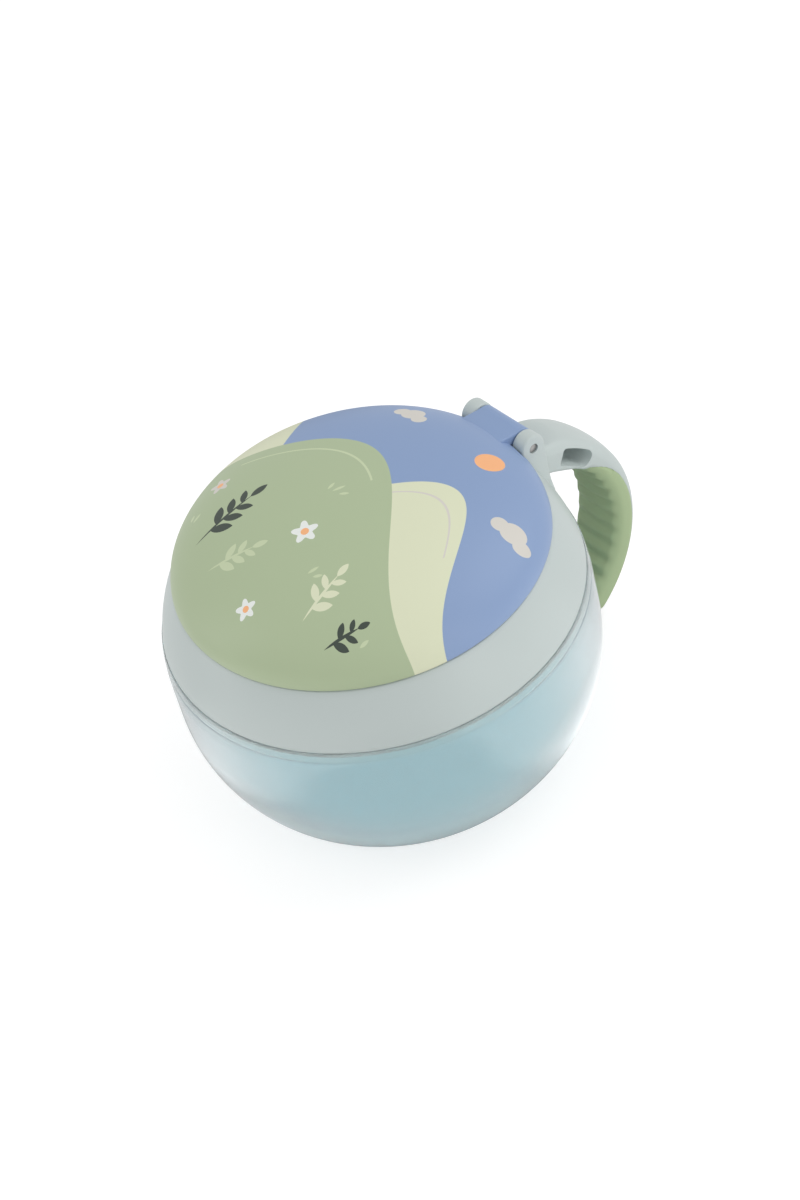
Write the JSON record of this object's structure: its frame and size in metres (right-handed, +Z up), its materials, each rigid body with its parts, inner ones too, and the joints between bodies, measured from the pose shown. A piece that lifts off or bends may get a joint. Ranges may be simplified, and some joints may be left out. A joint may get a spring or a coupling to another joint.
{
  "type": "toddler snack container",
  "caption": "Round toddler snack container with a screw-on collar, soft flap mouth, domed flip lid on a hinge pin, and an open C-shaped side handle with a ribbed soft grip and a strap slot",
  "frame": {"origin": "centre of the flat base, on the surface the tub stands on", "axes": "+Z up through the tub, +Y towards the hinge and the handle, +X along the hinge pin"},
  "size_m": [0.106, 0.1293, 0.086],
  "materials": {
    "tub_plastic": "translucent pale aqua, glossy",
    "collar_plastic": "opaque pale grey green, satin gloss",
    "grip_rubber": "soft matt olive green",
    "pin_steel": "plain steel pin",
    "flap_rubber": "soft matt elastomer",
    "lid_plastic": "opaque blue, glossy",
    "seal_silicone": "soft silicone"
  },
  "bodies": {
    "tub": {"tub": "tub_plastic"},
    "neck_gasket": {"neck_gasket": "seal_silicone"},
    "collar": {"collar": "collar_plastic", "handle": "collar_plastic", "handle_grip": "grip_rubber", "hinge_pin": "pin_steel", "flap_ring": "flap_rubber"},
    "lid": {"lid": "lid_plastic", "lid_seal": "seal_silicone"},
    "flap_1": {"flap_1": "flap_rubber"},
    "flap_2": {"flap_2": "flap_rubber"},
    "flap_3": {"flap_3": "flap_rubber"},
    "flap_4": {"flap_4": "flap_rubber"},
    "flap_5": {"flap_5": "flap_rubber"},
    "flap_6": {"flap_6": "flap_rubber"}
  },
  "joints": [
    {"name": "collar_rise", "type": "slide", "parent": "tub", "child": "neck_gasket", "axis": [0, 0, 1], "range_m": [0, 0.009]},
    {"name": "collar_turn", "type": "hinge", "parent": "neck_gasket", "child": "collar", "pos_m": [0, 0, 0.0622], "axis": [0, 0, 1], "range_deg": [0, 180]},
    {"name": "lid_hinge", "type": "hinge", "parent": "collar", "child": "lid", "pos_m": [0, 0.04685, 0.0715], "axis": [-1, 0, 0], "range_deg": [0, 165]},
    {"name": "flap_1_bend", "type": "hinge", "parent": "collar", "child": "flap_1", "pos_m": [0.031, 0, 0.0632], "axis": [0, -1, 0], "range_deg": [-30, 70], "stiffness_Nm_per_rad": 0.005},
    {"name": "flap_2_bend", "type": "hinge", "parent": "collar", "child": "flap_2", "pos_m": [0.0155, 0.02685, 0.0632], "axis": [0.866, -0.5, 0], "range_deg": [-30, 70], "stiffness_Nm_per_rad": 0.005},
    {"name": "flap_3_bend", "type": "hinge", "parent": "collar", "child": "flap_3", "pos_m": [-0.0155, 0.02685, 0.0632], "axis": [0.866, 0.5, 0], "range_deg": [-30, 70], "stiffness_Nm_per_rad": 0.005},
    {"name": "flap_4_bend", "type": "hinge", "parent": "collar", "child": "flap_4", "pos_m": [-0.031, 0, 0.0632], "axis": [0, 1, 0], "range_deg": [-30, 70], "stiffness_Nm_per_rad": 0.005},
    {"name": "flap_5_bend", "type": "hinge", "parent": "collar", "child": "flap_5", "pos_m": [-0.0155, -0.02685, 0.0632], "axis": [-0.866, 0.5, 0], "range_deg": [-30, 70], "stiffness_Nm_per_rad": 0.005},
    {"name": "flap_6_bend", "type": "hinge", "parent": "collar", "child": "flap_6", "pos_m": [0.0155, -0.02685, 0.0632], "axis": [-0.866, -0.5, 0], "range_deg": [-30, 70], "stiffness_Nm_per_rad": 0.005}
  ],
  "couplings": [
    {"joint": "collar_rise", "follows": "collar_turn", "m_per_rad": 0.00286}
  ]
}
